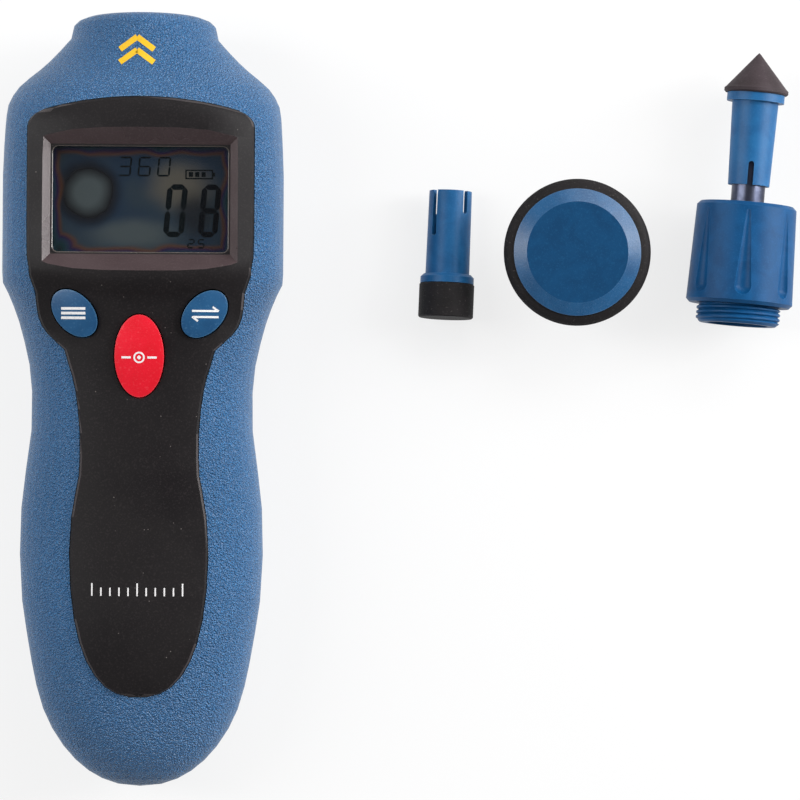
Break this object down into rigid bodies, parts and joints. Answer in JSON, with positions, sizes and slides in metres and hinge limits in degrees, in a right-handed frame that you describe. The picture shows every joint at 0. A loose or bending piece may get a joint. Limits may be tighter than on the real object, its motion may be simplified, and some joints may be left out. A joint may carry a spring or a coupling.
{
  "type": "laser tachometer",
  "caption": "Hand-held laser tachometer with display, three keys, a battery door on its back, and a screw-on contact adapter with cone tip, flat tip and speed wheel.",
  "frame": {"origin": "centre of the instrument's length and width, on the flat rest face of its back", "axes": "+Y out of the nose, +Z out of the display, +X to the right as the display is seen with the nose up"},
  "size_m": [0.1648, 0.1597, 0.0416],
  "materials": {
    "housing_blue": "soft-touch coating with a fine pebble grain",
    "panel_black": "fine matte texture",
    "inner_black": "moulded",
    "window_clear": "clear, polished",
    "filter_red": "clear, deep red",
    "lcd_glass": "polarising film over glass",
    "white_plastic": "moulded",
    "strip_rubber": "layered silicone",
    "board_green": "solder mask over glass fibre",
    "bright_steel": "bright",
    "chip_black": "moulded epoxy",
    "key_blue": "satin",
    "key_red": "satin",
    "wheel_blue": "satin",
    "laser_brass": "turned",
    "lead_yellow": "insulation",
    "lead_red": "insulation",
    "lead_black": "insulation",
    "battery_wrap": "plain film over the can",
    "tip_blue": "moulded, satin",
    "rubber_black": "matte"
  },
  "bodies": {
    "housing": {"front_shell": "housing_blue", "rear_shell": "housing_blue", "face_panel": "panel_black", "display_window": "window_clear", "lcd_cell": "lcd_glass", "lcd_holder": "white_plastic", "backlight_box": "white_plastic", "contact_strips": "strip_rubber", "main_board": "board_green", "board_screws": "bright_steel", "microcontroller": "chip_black", "quartz_crystal": "bright_steel", "board_capacitors": "chip_black", "key_switches": "bright_steel", "nose_ring": "inner_black", "optic_window": "filter_red", "optic_holder": "inner_black", "laser_module": "laser_brass", "laser_lens": "window_clear", "receiver_lens": "window_clear", "photodiode": "chip_black", "sensor_board": "board_green", "sensor_leads": "lead_yellow", "battery": "battery_wrap", "battery_snap": "inner_black", "battery_lead_red": "lead_red", "battery_lead_black": "lead_black", "case_screws": "bright_steel"},
    "memory_key": {"memory_key": "key_blue", "memory_plunger": "inner_black"},
    "measure_key": {"measure_key": "key_red", "measure_plunger": "inner_black"},
    "mode_key": {"mode_key": "key_blue", "mode_plunger": "inner_black"},
    "battery_door": {"battery_door": "housing_blue"},
    "adapter": {"adapter_body": "tip_blue", "adapter_base": "tip_blue", "adapter_face": "tip_blue", "shaft_bearings": "bright_steel"},
    "adapter_spindle": {"adapter_shaft": "bright_steel", "encoder_disc": "white_plastic", "shaft_clip": "bright_steel"},
    "cone_tip": {"cone_holder": "tip_blue", "rubber_cone": "rubber_black"},
    "flat_tip": {"flat_tip_holder": "tip_blue", "flat_tip_rubber": "rubber_black"},
    "speed_wheel": {"wheel_hub": "wheel_blue", "wheel_tyre": "rubber_black"}
  },
  "joints": [
    {"name": "memory_key_press", "type": "slide", "parent": "housing", "child": "memory_key", "axis": [0, 0, -1], "range_m": [0, 0.0006], "stiffness_N_per_m": 900},
    {"name": "measure_key_press", "type": "slide", "parent": "housing", "child": "measure_key", "axis": [0, 0, -1], "range_m": [0, 0.0006], "stiffness_N_per_m": 900},
    {"name": "mode_key_press", "type": "slide", "parent": "housing", "child": "mode_key", "axis": [0, 0, -1], "range_m": [0, 0.0006], "stiffness_N_per_m": 900},
    {"name": "battery_door_slide", "type": "slide", "parent": "housing", "child": "battery_door", "axis": [0, -1, 0], "range_m": [0, 0.078]},
    {"name": "adapter_lift", "type": "slide", "parent": "housing", "child": "adapter", "axis": [0, 0, 1], "range_m": [0, 0.1]},
    {"name": "spindle_turn", "type": "hinge", "parent": "adapter", "child": "adapter_spindle", "pos_m": [0.12475, 0.03155, 0.01073], "axis": [0.0767, 0.9964, -0.0353], "continuous": true},
    {"name": "cone_tip_pull", "type": "slide", "parent": "adapter_spindle", "child": "cone_tip", "axis": [0.0767, 0.9964, -0.0353], "range_m": [0, 0.02]},
    {"name": "flat_tip_lift", "type": "slide", "parent": "housing", "child": "flat_tip", "axis": [0, 0, 1], "range_m": [0, 0.1]},
    {"name": "speed_wheel_lift", "type": "slide", "parent": "housing", "child": "speed_wheel", "axis": [0, 0, 1], "range_m": [0, 0.1]}
  ]
}
